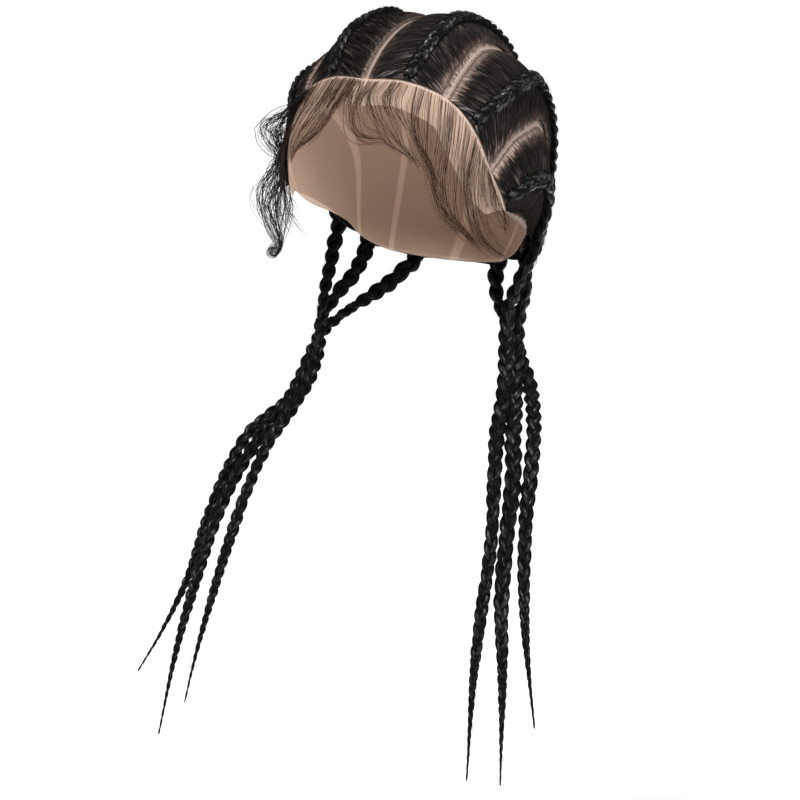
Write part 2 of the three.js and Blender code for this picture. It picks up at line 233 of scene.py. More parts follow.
# How high the swept hair stands: low at the parts and the hairline, full at the cornrow
def hair_lift(section, k, s):
    start, crest, end = SECTIONS[section]
    a = np.abs(k)
    share = np.where(a < crest, (a - start) / (crest - start), (end - a) / (end - crest))
    risen = mix(0.2, 1, smooth(s, 0, 0.12))
    arch = np.sin(np.clip(share, 0, 1) * np.pi / 2)
    return HAIR_BASE + HAIR_EDGE + (HAIR_CREST[section] - HAIR_EDGE) * risen * arch


# Mesh makers
def rolled_skin(name, around, along, shape):
    """A closed skin: shape gives the places, fibre map and marks for shares around and along."""
    bm = bmesh.new()
    bm.loops.layers.uv.new("UVMap")
    bm.loops.layers.uv.new("Marks")
    bmesh.ops.create_grid(bm, x_segments=around, y_segments=along, size=1, calc_uvs=True)
    me = bpy.data.meshes.new(name)
    bm.to_mesh(me)
    co = np.empty(len(me.vertices) * 3, np.float32)
    me.vertices.foreach_get("co", co)
    grid = (co.reshape(-1, 3)[:, :2] + 1) / 2
    points, uv, marks = shape(grid[:, 0].astype(float), grid[:, 1].astype(float))
    me.vertices.foreach_set("co", (points * MM).astype(np.float32).ravel())
    corner = np.empty(len(me.loops), np.int32)
    me.loops.foreach_get("vertex_index", corner)
    me.uv_layers["UVMap"].data.foreach_set("uv", uv[corner].astype(np.float32).ravel())
    me.uv_layers["Marks"].data.foreach_set("uv", marks[corner].astype(np.float32).ravel())
    bm.clear()
    bm.from_mesh(me)
    bmesh.ops.remove_doubles(bm, verts=bm.verts, dist=1e-6)
    bmesh.ops.recalc_face_normals(bm, faces=bm.faces)
    for f in bm.faces:
        f.smooth = True
    bm.to_mesh(me)
    bm.free()
    return me


def hair_mesh(name, paths, over, radius, uv):
    """Joined three-sided hairs: paths and over are (hairs, points, 3), radius (hairs, points)."""
    hairs, points = paths.shape[:2]
    along = unit(np.gradient(paths, axis=1))
    over = square(over, along)
    side = np.cross(along, over)
    turn = np.radians([90, 210, 330])
    ring = paths[:, :, None] + radius[:, :, None, None] * (
        side[:, :, None] * np.cos(turn)[:, None] + over[:, :, None] * np.sin(turn)[:, None])
    index = np.arange(hairs * points * 3).reshape(hairs, points, 3)
    a, b = index[:, :-1], index[:, 1:]
    quads = np.stack([a, np.roll(a, -1, 2), np.roll(b, -1, 2), b], -1).reshape(-1, 4)
    caps = np.concatenate([index[:, 0, ::-1], index[:, -1]])
    me = bpy.data.meshes.new(name)
    me.vertices.add(index.size)
    me.vertices.foreach_set("co", (ring * MM).astype(np.float32).ravel())
    corner = np.concatenate([quads.ravel(), caps.ravel()]).astype(np.int32)
    me.loops.add(len(corner))
    me.loops.foreach_set("vertex_index", corner)
    sizes = np.concatenate([np.full(len(quads), 4), np.full(len(caps), 3)])
    me.polygons.add(len(sizes))
    me.polygons.foreach_set("loop_start", np.concatenate([[0], np.cumsum(sizes)[:-1]]).astype(np.int32))
    me.polygons.foreach_set("use_smooth", np.ones(len(sizes), bool))
    layer = me.uv_layers.new(name="UVMap")
    layer.data.foreach_set("uv", np.repeat(uv.reshape(-1, 2), 3, 0)[corner].astype(np.float32).ravel())
    me.update(calc_edges=True)
    me.validate()
    return me


# One random place in the noise for each hair, so that each has its own tone
def tints(rng, count, points):
    return np.repeat(rng.uniform(0, 50, count)[:, None], points, 1)


def add_piece(name, me, material, slot, *nodes):
    me.materials.append(material)
    ob = bpy.data.objects.new(name, me)
    bpy.context.scene.collection.objects.link(ob)
    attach(ob, "root")
    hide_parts(*nodes)
    return ob


# Node helpers
def node(tree, kind, **values):
    n = tree.nodes.new(kind)
    for key, value in values.items():
        setattr(n, key, value)
    return n


def feed(tree, target, value):
    if isinstance(value, bpy.types.NodeSocket):
        tree.links.new(value, target)
    else:
        target.default_value = value


def math_node(tree, operation, a, b=0.5):
    n = node(tree, "ShaderNodeMath", operation=operation)
    feed(tree, n.inputs[0], a)
    feed(tree, n.inputs[1], b)
    return n.outputs[0]


def ranged(tree, value, low, high, to_low=0.0, to_high=1.0):
    n = node(tree, "ShaderNodeMapRange", interpolation_type="SMOOTHSTEP")
    for socket, v in zip(n.inputs, (value, low, high, to_low, to_high)):
        feed(tree, socket, v)
    return n.outputs[0]


def blended(tree, factor, a, b):
    n = node(tree, "ShaderNodeMix", data_type="RGBA")
    feed(tree, n.inputs[0], factor)
    feed(tree, n.inputs[6], a)
    feed(tree, n.inputs[7], b)
    return n.outputs[2]


def noise(tree, vector, scale, detail=2.0):
    n = node(tree, "ShaderNodeTexNoise")
    feed(tree, n.inputs["Vector"], vector)
    n.inputs["Scale"].default_value = scale
    n.inputs["Detail"].default_value = detail
    return n.outputs[0]


def stretched(tree, vector, scale):
    n = node(tree, "ShaderNodeMapping")
    feed(tree, n.inputs["Vector"], vector)
    n.inputs["Scale"].default_value = scale
    return n.outputs[0]


# Shared effect: fine fibres and wider clumps that run along the fibre map's second axis, in millimetres
def fibre_group():
    g = bpy.data.node_groups.new("hair_fibres", "ShaderNodeTree")
    g.interface.new_socket("Place", in_out="INPUT", socket_type="NodeSocketVector")
    for name in ("Fibre", "Clump", "Height"):
        g.interface.new_socket(name, in_out="OUTPUT", socket_type="NodeSocketFloat")
    entry, leave = node(g, "NodeGroupInput"), node(g, "NodeGroupOutput")
    fine = ranged(g, noise(g, stretched(g, entry.outputs[0], (1.15, 0.08, 1)), 1.0, 3.0), 0.32, 0.68)
    clump = ranged(g, noise(g, stretched(g, entry.outputs[0], (0.42, 0.05, 1)), 1.0, 2.0), 0.32, 0.68)
    height = math_node(g, "ADD", math_node(g, "MULTIPLY", fine, 0.45), math_node(g, "MULTIPLY", clump, 0.55))
    for socket, value in zip(leave.inputs, (fine, clump, height)):
        g.links.new(value, socket)
    return g


FIBRES = fibre_group()


def started(name):
    m = bpy.data.materials.new(name)
    m.use_nodes = True
    t = m.node_tree
    return m, t, t.nodes["Principled BSDF"]


def fibres(tree):
    coord = node(tree, "ShaderNodeTexCoord")
    n = node(tree, "ShaderNodeGroup", node_tree=FIBRES)
    tree.links.new(coord.outputs["UV"], n.inputs["Place"])
    return coord.outputs["UV"], n.outputs["Fibre"], n.outputs["Clump"], n.outputs["Height"]


def raised(tree, shader, height, strength, distance):
    n = node(tree, "ShaderNodeBump")
    n.inputs["Strength"].default_value = strength
    n.inputs["Distance"].default_value = distance
    tree.links.new(height, n.inputs["Height"])
    tree.links.new(n.outputs[0], shader.inputs["Normal"])


def mark(tree, which):
    n = node(tree, "ShaderNodeUVMap", uv_map="Marks")
    split = node(tree, "ShaderNodeSeparateXYZ")
    tree.links.new(n.outputs[0], split.inputs[0])
    return split.outputs[which]


# Hair of the plaits: near black in the creases from painted shade, with a broken grey sheen on the lobes,
# partly a painted highlight in the colour and partly the coat
def plait_hair():
    m, t, p = started("plaited_black_hair")
    _, fine, clump, height = fibres(t)
    # crown marks the outward lobe tops, halved on the hanging braids: the colour is lightened there as a
    # painted highlight
    crown = ranged(t, mark(t, 0), 0.15, 0.75)
    crown = math_node(t, "MULTIPLY", crown, ranged(t, mark(t, 1), 0, 1, 1.0, 0.5))
    tone = math_node(t, "MULTIPLY", math_node(t, "MULTIPLY", fine, clump), crown)
    # The crease colour is painted shade and the lobe colour is a painted highlight
    painted_crease_shade, painted_lobe_highlight = (0.0008, 0.0007, 0.0007, 1), (0.018, 0.0155, 0.015, 1)
    t.links.new(blended(t, tone, painted_crease_shade, painted_lobe_highlight), p.inputs["Base Color"])
    t.links.new(ranged(t, fine, 0, 1, 0.62, 0.46), p.inputs["Roughness"])
    p.inputs["Specular IOR Level"].default_value = 0.05
    sheen = math_node(t, "MULTIPLY", ranged(t, height, 0.4, 0.9, 0.0, 1.0), crown)
    t.links.new(sheen, p.inputs["Coat Weight"])
    p.inputs["Coat Roughness"].default_value = 0.37
    p.inputs["Coat IOR"].default_value = 1.5
    raised(t, p, height, 0.9, 0.0012)
    return m


# Hair combed over the cap: it thins out to the lace beside each part
def combed_hair():
    m, t, p = started("combed_black_hair")
    uv, fine, clump, height = fibres(t)
    split = node(t, "ShaderNodeSeparateXYZ")
    t.links.new(uv, split.inputs[0])
    ragged = math_node(t, "ADD", math_node(t, "MULTIPLY", fine, 0.9), math_node(t, "MULTIPLY", clump, 0.4))
    reach = math_node(t, "DIVIDE", split.outputs[1], mark(t, 1))
    cover = ranged(t, math_node(t, "ADD", reach, ragged), 0.5, 1.5)
    # The lit streaks are partly the hair's own brown tone and partly painted sheen along the fibres
    streak = math_node(t, "MULTIPLY", fine, ranged(t, clump, 0, 1, 0.3, 1.0))
    streak = math_node(t, "POWER", streak, 3.0)
    deep, lit, lace = (0.0009, 0.0008, 0.0008, 1), (0.105, 0.079, 0.069, 1), (0.30, 0.215, 0.18, 1)
    hair = blended(t, streak, deep, lit)
    t.links.new(blended(t, cover, lace, hair), p.inputs["Base Color"])
    t.links.new(ranged(t, fine, 0, 1, 0.62, 0.46), p.inputs["Roughness"])
    p.inputs["Specular IOR Level"].default_value = 0.06
    t.links.new(ranged(t, height, 0.5, 0.95, 0.0, 0.6), p.inputs["Coat Weight"])
    p.inputs["Coat Roughness"].default_value = 0.34
    raised(t, p, height, 0.8, 0.0009)
    return m


# Single hairs, dark to light by their tints and black where the map's second axis runs past a limit
def loose_hair(name, dark, light, rough, shine, darkens=(500, 600)):
    m, t, p = started(name)
    coord = node(t, "ShaderNodeTexCoord")
    shade = ranged(t, noise(t, stretched(t, coord.outputs["UV"], (9.0, 0.05, 1)), 1.0, 1.0), 0.3, 0.7)
    split = node(t, "ShaderNodeSeparateXYZ")
    t.links.new(coord.outputs["UV"], split.inputs[0])
    tone = math_node(t, "MULTIPLY", shade, ranged(t, split.outputs[1], *darkens, 1.0, 0.08))
    t.links.new(blended(t, tone, dark, light), p.inputs["Base Color"])
    t.links.new(ranged(t, shade, 0, 1, rough, rough + 0.15), p.inputs["Roughness"])
    p.inputs["Specular IOR Level"].default_value = shine
    return m


# Tan lace: a fine net of rounded cells, a little denser along the hairline and the parts, and painted
# lighter on the inside of the cap to lift the shade there
def tan_lace():
    m, t, p = started("tan_lace_net")
    coord = node(t, "ShaderNodeTexCoord")
    cell = node(t, "ShaderNodeTexVoronoi", feature="DISTANCE_TO_EDGE")
    cell.inputs["Scale"].default_value = 0.9
    cell.inputs["Randomness"].default_value = 0.35
    t.links.new(coord.outputs["UV"], cell.inputs["Vector"])
    thread = ranged(t, cell.outputs["Distance"], 0.10, 0.24, 1.0, 0.0)
    cloud = noise(t, coord.outputs["UV"], 0.06, 3.0)
    tone = blended(t, cloud, (0.32, 0.219, 0.157, 1), (0.372, 0.259, 0.19, 1))
    tone = blended(t, math_node(t, "MULTIPLY", thread, 0.4), tone, (0.4, 0.29, 0.218, 1))
    # The inside is a lighter copy of the same lace: painted light against the shade inside the cap
    lightened_inside = blended(t, thread, (0.50, 0.35, 0.255, 1), (0.63, 0.45, 0.34, 1))
    split = node(t, "ShaderNodeSeparateXYZ")
    t.links.new(coord.outputs["UV"], split.inputs[0])
    off_part = math_node(t, "PINGPONG", split.outputs[0], LINE_GAP)
    behind = ranged(t, split.outputs[1], -1.0, 2.0)
    part = math_node(t, "MULTIPLY", ranged(t, off_part, 2.5, 5.0, 1.0, 0.0), behind)
    off_hairline = math_node(t, "ABSOLUTE", math_node(t, "ADD", split.outputs[1], 1.0))
    edge = ranged(t, off_hairline, 0.8, 1.8, 1.0, 0.0)
    dense = math_node(t, "MAXIMUM", part, edge)
    streak = ranged(t, noise(t, stretched(t, coord.outputs["UV"], (0.2, 1.1, 1)), 1.0, 2.0), 0.40, 0.62)
    off_centre = ranged(t, math_node(t, "ABSOLUTE", split.outputs[0]), 6.0, 12.0, 0.3, 1.0)
    streak = math_node(t, "MULTIPLY", streak, off_centre)
    bare = math_node(t, "MAXIMUM", streak, ranged(t, off_part, 0.1, 1.0, 0.75, 0.0))
    strip = blended(t, bare, (0.10, 0.07, 0.057, 1), (0.32, 0.238, 0.20, 1))
    strip = blended(t, part, (0.40, 0.29, 0.235, 1), strip)
    lightened_inside = blended(t, dense, lightened_inside, (0.66, 0.49, 0.385, 1))
    t.links.new(blended(t, mark(t, 0), lightened_inside, blended(t, dense, tone, strip)), p.inputs["Base Color"])
    sheer = ranged(t, split.outputs[1], -4.0, 8.0, 0.80, 0.62)
    net = math_node(t, "MAXIMUM", math_node(t, "MULTIPLY", thread, 0.92), sheer)
    t.links.new(math_node(t, "MAXIMUM", net, math_node(t, "MULTIPLY", dense, 0.97)), p.inputs["Alpha"])
    t.links.new(ranged(t, cloud, 0.3, 0.7, 0.72, 0.9), p.inputs["Roughness"])
    raised(t, p, thread, 0.4, 0.0003)
    return m


PLAIT_HAIR = plait_hair()
COMBED_HAIR = combed_hair()
BLACK_STRANDS = loose_hair(
    "black_strands", (0.0015, 0.0012, 0.0012, 1), (0.015, 0.012, 0.011, 1), rough=0.36, shine=0.14)
PART_STRANDS = loose_hair(
    "part_strands", (0.002, 0.0015, 0.0014, 1), (0.11, 0.076, 0.062, 1), rough=0.45, shine=0.1,
    darkens=(2, 9))
BABY_STRANDS = loose_hair(
    "baby_hair_strands", (0.006, 0.0026, 0.0018, 1), (0.066, 0.028, 0.017, 1), rough=0.55, shine=0.05)
LACE_NET = tan_lace()

# The lace cap: one thin net wall from the lace front to the rim
LACE_MIDDLE, LACE_HALF = 0.55, 0.2


def lace_cap():
    last = len(LINES) - 1

    def shape(u, v):
        outer = u <= 0.5
        k = np.where(outer, mix(-last, last, u * 2), mix(last, -last, u * 2 - 1))
        s = mix(-1, 1, v)
        rim = np.minimum(np.minimum(1 - np.abs(k) / last, np.minimum(v, 1 - v)) * 40, 1)
        p, _ = on_form(place(k, s), LACE_MIDDLE + np.where(outer, LACE_HALF, -LACE_HALF) * rim)
        uv = np.stack([k * LINE_GAP, np.where(s < 0, s * LACE_LONG, s * CAP_LONG)], -1)
        return p, uv, np.stack([outer, outer], -1)

    return rolled_skin("lace_cap", 180, 150, shape)


add_piece("lace_net_cap", lace_cap(), LACE_NET, "lace", "lace_cap")


# A wandering line: values that vary slowly along one direction
def wander(rng, x, period, count):
    knots = rng.normal(0, 1, count)
    return np.interp(x, np.arange(count) * period, knots)


# Swept hair: from the parts on to the cornrow, as a skin with combed ridges and single strands over it
LEAN = 0.045
SWEEP_WIDE = 26
SWEEP_OVER, SWEEP_UNDER = 0.8, 0.2
FAR_HALF = 500
RIDGES, RIDGE_LEAD = 400, 40
FINE_RIDGE, WIDE_RIDGE = dict(gap=2.3, high=0.13), dict(gap=5.1, high=0.22)
RIM_DARK = 9
COMBED_SEED = 100


def combed(side, section, seed):
    start, crest, end = SECTIONS[section]
    rng = np.random.default_rng(seed)
    ridge = [rng.normal(0, 1, RIDGES) for _ in range(4)]
    long = TRACKS[crest].length

    def halves(k):
        near = k < crest
        share = np.where(near, (k - start) / (crest - start), (end - k) / (end - crest))
        return near, np.clip(share, 0, 1)

    def ridged(kind, x, near, one, other):
        at, x = np.arange(RIDGES), x / kind["gap"]
        return kind["high"] * np.where(near, np.interp(x, at, ridge[one]), np.interp(x, at, ridge[other]))

    def top(k, s):
        near, share = halves(k)
        x = (s - LEAN * share) * long + RIDGE_LEAD
        relief = ridged(FINE_RIDGE, x, near, 0, 1) + ridged(WIDE_RIDGE, x, near, 2, 3)
        relief = relief * np.sin(share * np.pi) ** 0.6
        sink = 1.0 * (1 - smooth(share, 0, 0.16)) + 0.9 * (1 - smooth(s, 0, 0.02))
        gather = 1.7 * smooth(share, 0.78, 1) * smooth(s, 0.01, 0.1)
        return hair_lift(section, k, s) + relief + gather - np.minimum(sink, 1.3)

    def shape(u, v):
        outer = u <= SWEEP_OVER
        under = (u - SWEEP_OVER) / SWEEP_UNDER
        k = np.where(outer, mix(start, end, u / SWEEP_OVER), mix(end, start, under))
        s = v * HAIR_END
        near, share = halves(k)
        lift = top(k, s)
        pinch = np.minimum(np.minimum(v, 1 - v) * 60, 1) * np.minimum(share * 12, 1)
        lift = np.where(outer, lift, lift - np.minimum(0.9, lift - 0.85) * pinch)
        p, _ = on_form(place(side * k, s), lift)
        thins = [np.interp(s, (0, 0.12, 0.3), THINS[part]) for part in BESIDE[section]]
        thin = np.where(near, *thins)
        uv = np.stack([(s - LEAN * share) * long + np.where(near, 0, FAR_HALF), share * SWEEP_WIDE], -1)
        return p, uv, np.stack([thin, thin], -1)

    def strands(count, points, lead, length, stand, thick):
        paths, over, radius, uv = [], [], [], []
        t = np.linspace(0, 1, points)
        for edge, beside in zip((start, end), BESIDE[section]):
            dark = RIM_DARK if beside == "rim" else 0
            root = rng.uniform(-0.015, HAIR_END - 0.02, count)
            first = rng.uniform(*lead, count)
            last = np.minimum(first + rng.uniform(*length, count), 0.97)
            h = first[:, None] + (last - first)[:, None] * t
            bend = rng.normal(0, 0.005, count)[:, None] * np.sin(t * np.pi)
            s = np.clip(root[:, None] + LEAN * h + bend, 0.001, HAIR_END)
            k = edge + (crest - edge) * h
            lift = np.where(h < 0, 0.8, top(np.clip(k, start, end), s))
            lift = lift + rng.uniform(*stand, count)[:, None]
            lift[:, 0] = np.where(first < 0.05, 0.7, lift[:, 0] - 0.3)
            p, normal = on_form(place(side * k, s), lift)
            paths.append(p)
            over.append(normal)
            full = rng.uniform(*thick, count)[:, None]
            radius.append(full * np.interp(t, [0, 0.25, 0.7, 1], [0.6, 1, 1, 0.35]))
            uv.append(np.stack([tints(rng, count, points), h * SWEEP_WIDE + dark], -1))
        return hair_mesh("strands", *(np.concatenate(x) for x in (paths, over, radius, uv)))

    long_hairs = strands(
        count=400, points=6, lead=(0.05, 0.4), length=(0.35, 0.8), stand=(0.02, 0.28), thick=(0.10, 0.18))
    short_hairs = strands(
        count=900, points=4, lead=(-0.07, 0.22), length=(0.18, 0.45), stand=(0.05, 0.3), thick=(0.05, 0.10))
    return rolled_skin("skin", 22, 300, shape), long_hairs, short_hairs


for n, (side, word) in enumerate(((1, "left"), (-1, "right"))):
    for j, section in enumerate(SECTIONS):
        skin, long_hairs, short_hairs = combed(side, section, COMBED_SEED + 10 * n + j)
        cad = f"swept_hair_{word}_{section}"
        add_piece(f"combed_hair_{word}_{section}", skin, COMBED_HAIR, "hair", cad)
        add_piece(f"combed_strands_{word}_{section}", long_hairs, BLACK_STRANDS, "hair", cad)
        add_piece(f"part_hairs_{word}_{section}", short_hairs, PART_STRANDS, "hair", cad)

# A plait: three strands that cross in turn along the cornrow and on to the thin tip
PLAIT_START, PLAIT_STEP = 1.5, 1.1
TIP_WIDTH = 1.4
THICKNESS = 0.68
STRAND_SWING, STRAND_DIP, STRAND_WIDE, STRAND_DEEP = 0.27, 0.23, 0.24, 0.285
PLAIT_FRONT = {1: (0.5, -0.85, 0.1), -1: (-0.1, -0.98, 0.1)}
FUZZ_HAIRS, FUZZ_RADIUS, FUZZ_TAPER = 420, 0.07, (1, 1, 1, 0.8, 0.4)
PLAIT_SEED = 300

# How much fuller each side's plaits are along the cap, at the nape and in the gathered stretch below it
SWELLS = {
    1: (1.2, 1.25, 1.16, 1.18, 1.3, 1.24, 1.04),
    -1: (1.2, 1.25, 1.12, 1.04, 1.04, 1.04, 1.02),
}


# The middle line of a plait, the way it faces, and its length on the cap
def plait_course(row):
    crest = np.full(len(SEATS), SECTIONS[row["section"]][1])
    lift = hair_lift(row["section"], crest, SEATS) + 0.35 + 2 * smooth(SEATS, 0.86, HAIR_END)
    seats, normals = on_form(place(row["side"] * crest, SEATS), lift)
    hang = np.array(row["hang"], float)
    turn = 1 - smooth(hang[:, 2], -240, -185)[:, None]
    radial = unit((hang - [0, 10, 0]) * [1, 1, 0])
    front = np.array(PLAIT_FRONT[row["side"]])
    facing = np.vstack([normals, unit(mix(radial, front, turn))])
    track = Track(np.vstack([seats, hang]))
    return track, through(facing, 0), track.d[(len(SEATS) - 1) * FINE]


# One strand of a plait: an oval tube along its own middle line, closed at both ends
def strand_skin(name, strand, d, phase, core, over, fat, deep, loose):
    ahead = unit(np.gradient(core, axis=0))
    out = square(over, ahead)
    flat = np.cross(ahead, out)
    step = np.arange(len(d))
    pinch = np.minimum(np.minimum(step, step[::-1]) / 3, 1) ** 0.5

    def shape(u, v):
        i = np.rint(v * (len(d) - 1)).astype(int)
        a = u * 2 * math.pi
        p = core[i] + flat[i] * (fat * pinch)[i, None] * np.cos(a)[:, None]
        p = p + out[i] * (deep * pinch)[i, None] * np.sin(a)[:, None]
        # crown marks the outward top of each lobe, where the plait's highlight is painted; where it is low
        # the creases are painted dark
        crown = (0.5 + 0.5 * np.sin(a)) * (0.5 - 0.5 * np.sin(2 * phase[i]))
        uv = np.stack([u * 11 + strand * 20 + d[i] * 0.12, d[i] * 1.15], -1)
        return p, uv, np.stack([crown, loose[i]], -1)

    return rolled_skin(name, 10, len(d) - 1, shape)


def plait(name, row, seed):
    track, facing, on_cap = plait_course(row)
    total = track.length
    rng = np.random.default_rng(seed)

    def width(d):
        f = (d - on_cap) / (total - on_cap)
        cap = mix(row["root"], row["nape"], np.clip(d / on_cap, 0, 1) ** 0.6)
        upper = mix(row["nape"], row["free"], smooth(f, 0, 0.3))
        lower = mix(row["free"], TIP_WIDTH, smooth(f, 0.62, 1) ** 1.15)
        return np.where(d < on_cap, cap, np.where(f < 0.3, upper, lower))

    def centre(at):
        p = track.read(at)
        along = unit(np.gradient(p, axis=0))
        over = square(track.read(at, facing), along)
        return p, along, over, np.cross(along, over)

    # Crossings counted along the length
    d = np.linspace(PLAIT_START, total, int(total / PLAIT_STEP))
    spacing = np.interp(d, [0, on_cap, on_cap + 90], [0.92, 0.95, 1.08])
    pitch = np.maximum(width(d) * spacing, np.where(d < on_cap, 5, 7))
    pitch = pitch * (1 + 0.07 * wander(rng, d, 14.0, 120))
    turns = np.concatenate([[0], np.cumsum(np.diff(d) / pitch[1:])]) * 2 * math.pi / 3

    base, _, over, sideways = centre(d)
    w = width(d)
    thick = w * THICKNESS * mix(0.85, 1.05, smooth(d, 0, 30))
    rise = (thick / 2 - 2.2) * (1 - smooth(d, on_cap, on_cap + 30))
    at = [0, 50, on_cap - 40, on_cap, on_cap + 40, on_cap + 150, on_cap + 210]
    w = w * (1 + 0.04 * wander(rng, d, 11.0, 120)) * np.interp(d, at, SWELLS[row["side"]])
    loose = smooth(d, on_cap, on_cap + 60)
    bm = bmesh.new()
    for strand in range(3):
        phase = turns + 2 * math.pi * strand / 3
        wave = w * STRAND_SWING * np.sin(phase)
        depth = -thick * STRAND_DIP * np.sin(2 * phase)
        core = base + sideways * wave[:, None] + over * (rise + depth)[:, None]
        fat = w * STRAND_WIDE * (1 + 0.08 * wander(rng, d, 6.0, 220))
        me = strand_skin(f"{name}_{strand}", strand, d, phase, core, over, fat, thick * STRAND_DEEP, loose)
        bm.from_mesh(me)
        bpy.data.meshes.remove(me)
    me = bpy.data.meshes.new(name)
    bm.to_mesh(me)
    bm.free()

    # Short hairs that have worked loose
    count, points = FUZZ_HAIRS, len(FUZZ_TAPER)
    at = np.sort(rng.uniform(20, total - 15, count))
    p, ahead, up, flank = centre(at)
    angle = rng.uniform(-0.4, math.pi + 0.4, count)
    out = flank * np.cos(angle)[:, None] + up * np.sin(angle)[:, None]
    body = up * (np.interp(at, d, rise))[:, None]
    skin = out * (width(at) * mix(0.36, 0.48, np.abs(np.cos(angle))))[:, None] * 0.9
    reach = rng.uniform(3, 9, count)
    t = np.linspace(0, 1, points)
    stand = rng.uniform(0.3, 1.6, count)
    bow = stand[:, None] * np.sin(t * math.pi * rng.uniform(0.55, 1, count)[:, None])
    paths = (p + body + skin)[:, None] + ahead[:, None] * (reach[:, None] * t)[..., None]
    paths = paths + out[:, None] * bow[..., None]
    radius = np.full((count, points), FUZZ_RADIUS) * np.array(FUZZ_TAPER)
    uv = np.stack([tints(rng, count, points), np.repeat(t[None] * 8, count, 0)], -1)
    return me, hair_mesh(name + "_fuzz", paths, np.repeat(out[:, None], points, 1), radius, uv)


for n, (word, row) in enumerate(PLAITS.items()):
    body, fuzz = plait(word, row, PLAIT_SEED + n)
    add_piece(f"plait_{word}", body, PLAIT_HAIR, "plait", f"braid_{word}")
    add_piece(f"plait_fuzz_{word}", fuzz, BLACK_STRANDS, "plait", f"braid_{word}")

# Baby hair: single hairs from all along the hairline, each combed between its own curl and the next
FRINGE_SEED = 7
CURL_FACING = np.array([0.42, -0.88, 0.24])
CURL_LINE, CURL_KEEP = -1.5, 0.2
LOCK_CLEAR, HAIR_CLEAR = 2.4, 0.95
HAIR_RADII, HAIR_SHARES = [0.07, 0.11, 0.19], [0.5, 0.27, 0.23]

# Hairs of the loose curl and of the fringe: share that goes singly, spread of the ends, where the ends hook
CURL_WAY = dict(single=0.85, ends=0.025, hooks=0.97, full=1.3)
FRINGE_WAY = dict(single=0.45, ends=0.13, hooks=0.78, full=1)


# A lock's middle line at the shares given, its length, and how freely it stands off the cap
def lock_guide(row, share):
    root, _ = on_form(place(row["root"], -2.2 / lace_ahead(row["root"])), 1.0)
    curl = np.array(row["curl"], float)
    seat, normals = on_form(curl)
    height = np.sum((curl - seat) * normals, -1)
    curl = curl + normals * np.maximum(LOCK_CLEAR - height, 0)[:, None]
    guide = Track(np.vstack([root[None], curl]))
    return guide.read(share * guide.length), guide.length, np.clip(np.max(height) / 14, 0, 1)


def in_curl(row):
    return row["root"] < CURL_LINE


